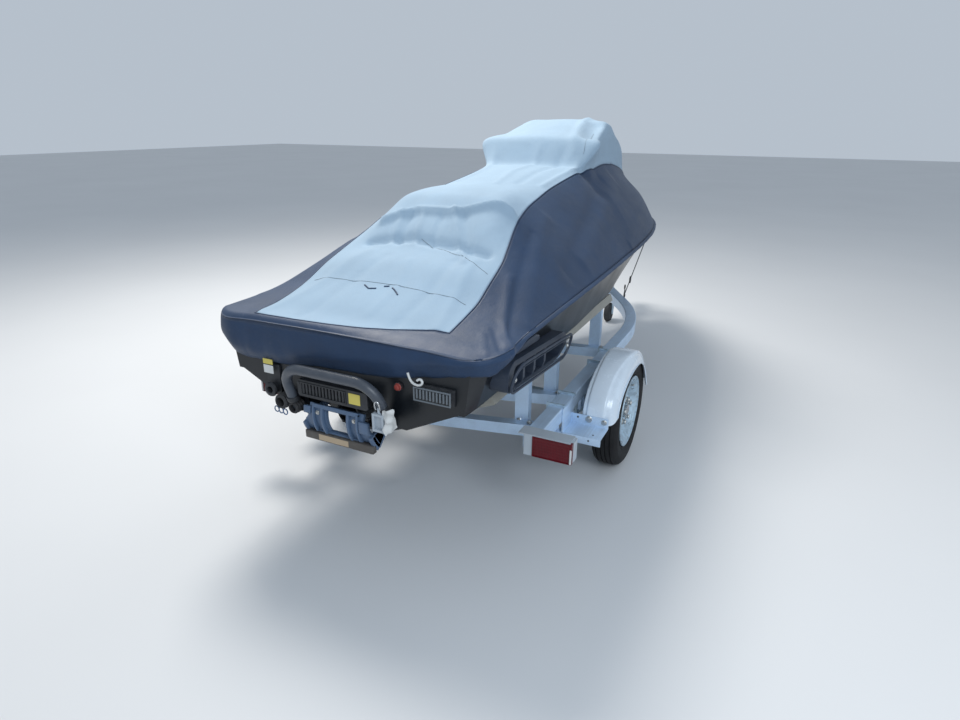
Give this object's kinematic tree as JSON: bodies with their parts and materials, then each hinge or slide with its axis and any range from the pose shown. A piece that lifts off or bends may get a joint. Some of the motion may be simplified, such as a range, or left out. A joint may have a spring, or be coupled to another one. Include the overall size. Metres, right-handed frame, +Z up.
{
  "type": "personal watercraft on trailer",
  "caption": "Jet-driven personal watercraft under a fitted two-tone storage cover, parked on a single-axle aluminium trailer with bunks, fenders, winch post and jack.",
  "frame": {"origin": "on the ground at mid length, on the centre line", "axes": "+X starboard, +Y bow, +Z up"},
  "size_m": [1.664, 3.9657, 1.56],
  "materials": {
    "hull_gelcoat": "polished moulded hull skin",
    "black_plastic": "grained moulded plastic",
    "grey_plastic": "grained moulded plastic",
    "gate_plastic": "satin moulded plastic",
    "cover_pale": "woven canvas",
    "cover_dark": "woven canvas",
    "strap": "webbing",
    "aluminium": "mill finish",
    "galvanised": "galvanised",
    "steel": "bright",
    "cast": "painted",
    "silver_paint": "satin paint",
    "bunk_board": "carpeted board",
    "tyre": "road tyre",
    "rubber": "moulded",
    "lens": "moulded lens",
    "lamp_body": "moulded"
  },
  "bodies": {
    "frame": {"hull": "hull_gelcoat", "engine_block": "cast", "cover_sides": "cover_dark", "cover_top": "cover_pale", "sponson_starboard": "grey_plastic", "sponson_port": "grey_plastic", "pump_housing": "black_plastic", "pivot_lugs": "black_plastic", "grille_housing": "black_plastic", "stern_fittings": "black_plastic", "exhaust_outlet": "rubber", "ride_plate": "black_plastic", "intake_grate": "steel", "rail_starboard": "aluminium", "rail_port": "aluminium", "tongue": "aluminium", "tongue_plates": "aluminium", "cross_member_rear": "aluminium", "cross_member_middle": "aluminium", "cross_member_front": "aluminium", "bunk_starboard": "bunk_board", "bunk_port": "bunk_board", "bunk_brackets": "aluminium", "rail_clamps": "galvanised", "fender_brackets": "aluminium", "leaf_springs": "galvanised", "tie_straps": "strap", "axle": "galvanised", "fender_starboard": "silver_paint", "fender_port": "silver_paint", "lamp_housing_starboard": "lamp_body", "lamp_housing_port": "lamp_body", "lamp_lens_starboard": "lens", "lamp_lens_port": "lens", "winch_post": "galvanised", "winch": "galvanised", "bow_stop": "rubber", "coupler": "galvanised", "jack_tube": "galvanised"},
    "wheel_starboard": {"tyre_starboard": "tyre", "rim_starboard": "galvanised", "hub_starboard": "steel"},
    "wheel_port": {"tyre_port": "tyre", "rim_port": "galvanised", "hub_port": "steel"},
    "impeller": {"impeller": "steel"},
    "nozzle": {"steering_nozzle": "black_plastic"},
    "gate": {"reverse_gate": "gate_plastic"},
    "step": {"boarding_step": "black_plastic", "stern_buckle": "lamp_body"},
    "jack_leg": {"jack_leg": "steel"},
    "jack_caster": {"jack_fork": "galvanised"},
    "jack_wheel": {"jack_wheel": "rubber"}
  },
  "joints": [
    {"name": "wheel_starboard_roll", "type": "hinge", "parent": "frame", "child": "wheel_starboard", "pos_m": [0.733, -0.76714, 0.2655], "axis": [1, 0, 0], "continuous": true},
    {"name": "wheel_port_roll", "type": "hinge", "parent": "frame", "child": "wheel_port", "pos_m": [-0.733, -0.76714, 0.2655], "axis": [1, 0, 0], "continuous": true},
    {"name": "impeller_spin", "type": "hinge", "parent": "frame", "child": "impeller", "pos_m": [0, -1.56714, 0.555], "axis": [0, 1, 0], "continuous": true},
    {"name": "nozzle_steer", "type": "hinge", "parent": "frame", "child": "nozzle", "pos_m": [0, -1.75214, 0.555], "axis": [0, 0, 1], "range_deg": [-20, 20]},
    {"name": "gate_tilt", "type": "hinge", "parent": "frame", "child": "gate", "pos_m": [0, -1.80514, 0.555], "axis": [1, 0, 0], "range_deg": [-5, 40]},
    {"name": "step_fold", "type": "hinge", "parent": "frame", "child": "step", "pos_m": [0, -1.90514, 0.555], "axis": [1, 0, 0], "range_deg": [0, 112], "stiffness_Nm_per_rad": 3, "springref_deg": -34.38},
    {"name": "jack_extend", "type": "slide", "parent": "frame", "child": "jack_leg", "axis": [0, 0, 1], "range_m": [0, 0.2]},
    {"name": "jack_swivel", "type": "hinge", "parent": "jack_leg", "child": "jack_caster", "pos_m": [0.082, 1.48286, 0.178], "axis": [0, 0, 1], "continuous": true},
    {"name": "jack_wheel_roll", "type": "hinge", "parent": "jack_caster", "child": "jack_wheel", "pos_m": [0.082, 1.44486, 0.076], "axis": [1, 0, 0], "continuous": true}
  ]
}
